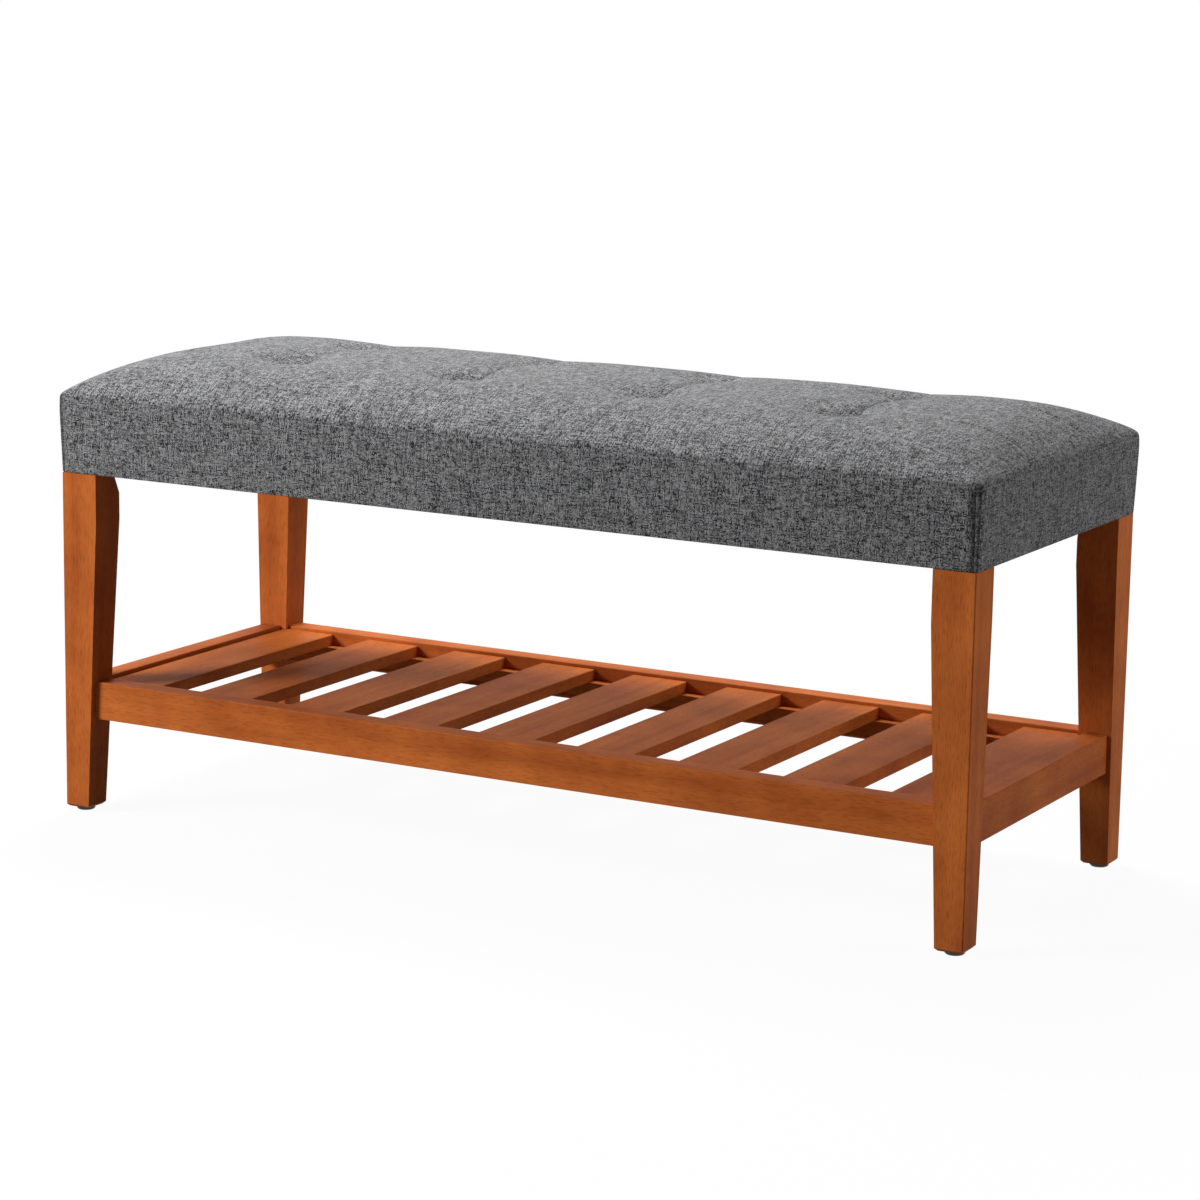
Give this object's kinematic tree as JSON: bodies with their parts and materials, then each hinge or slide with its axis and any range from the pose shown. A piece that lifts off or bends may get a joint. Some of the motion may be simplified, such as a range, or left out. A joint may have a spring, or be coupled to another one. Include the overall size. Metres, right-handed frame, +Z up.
{
  "type": "upholstered bench",
  "caption": "Backless bench with a boxed seat in grey woven fabric, blind tufts in a crowned cushion, tapered wooden legs and a slatted shelf between them.",
  "frame": {"origin": "on the floor, under the middle of the bench", "axes": "+X along the bench to the viewer's right, +Y from the front to the rear, +Z up"},
  "size_m": [1.025, 0.399, 0.4722],
  "materials": {
    "stained_wood": "reddish brown stain under satin lacquer",
    "frame_wood": "bare sawn softwood",
    "plywood": "bare plywood",
    "glide_plastic": "black moulded",
    "steel": "zinc plated",
    "seat_fabric": "heathered grey woven tweed",
    "foam": "cut polyurethane foam",
    "wadding": "white fibre wadding",
    "tape_cloth": "woven tape",
    "dust_cloth": "black non-woven cloth"
  },
  "bodies": {
    "root": {"leg_front_left": "stained_wood", "leg_rear_left": "stained_wood", "leg_front_right": "stained_wood", "leg_rear_right": "stained_wood", "glide_front_left": "glide_plastic", "glide_rear_left": "glide_plastic", "glide_front_right": "glide_plastic", "glide_rear_right": "glide_plastic", "shelf_rail_front": "stained_wood", "shelf_rail_rear": "stained_wood", "shelf_rail_left": "stained_wood", "shelf_rail_right": "stained_wood", "slat_support_front": "stained_wood", "slat_support_rear": "stained_wood", "shelf_slat_1": "stained_wood", "shelf_slat_2": "stained_wood", "shelf_slat_3": "stained_wood", "shelf_slat_4": "stained_wood", "shelf_slat_5": "stained_wood", "shelf_slat_6": "stained_wood", "shelf_slat_7": "stained_wood", "shelf_slat_8": "stained_wood", "shelf_slat_9": "stained_wood", "slat_staples": "steel", "cleat_staples": "steel", "apron_front": "frame_wood", "apron_rear": "frame_wood", "apron_left": "frame_wood", "apron_right": "frame_wood", "seat_brace": "frame_wood", "corner_block_front_left": "frame_wood", "corner_block_rear_left": "frame_wood", "corner_block_front_right": "frame_wood", "corner_block_rear_right": "frame_wood", "seat_board": "plywood", "hanger_bolts": "steel", "bolt_washers": "steel", "bolt_nuts": "steel", "seat_foam": "foam", "seat_wadding": "wadding", "seat_cover": "seat_fabric", "tuft_tapes": "tape_cloth", "tape_staples": "steel", "dust_cover": "dust_cloth"}
  },
  "joints": []
}
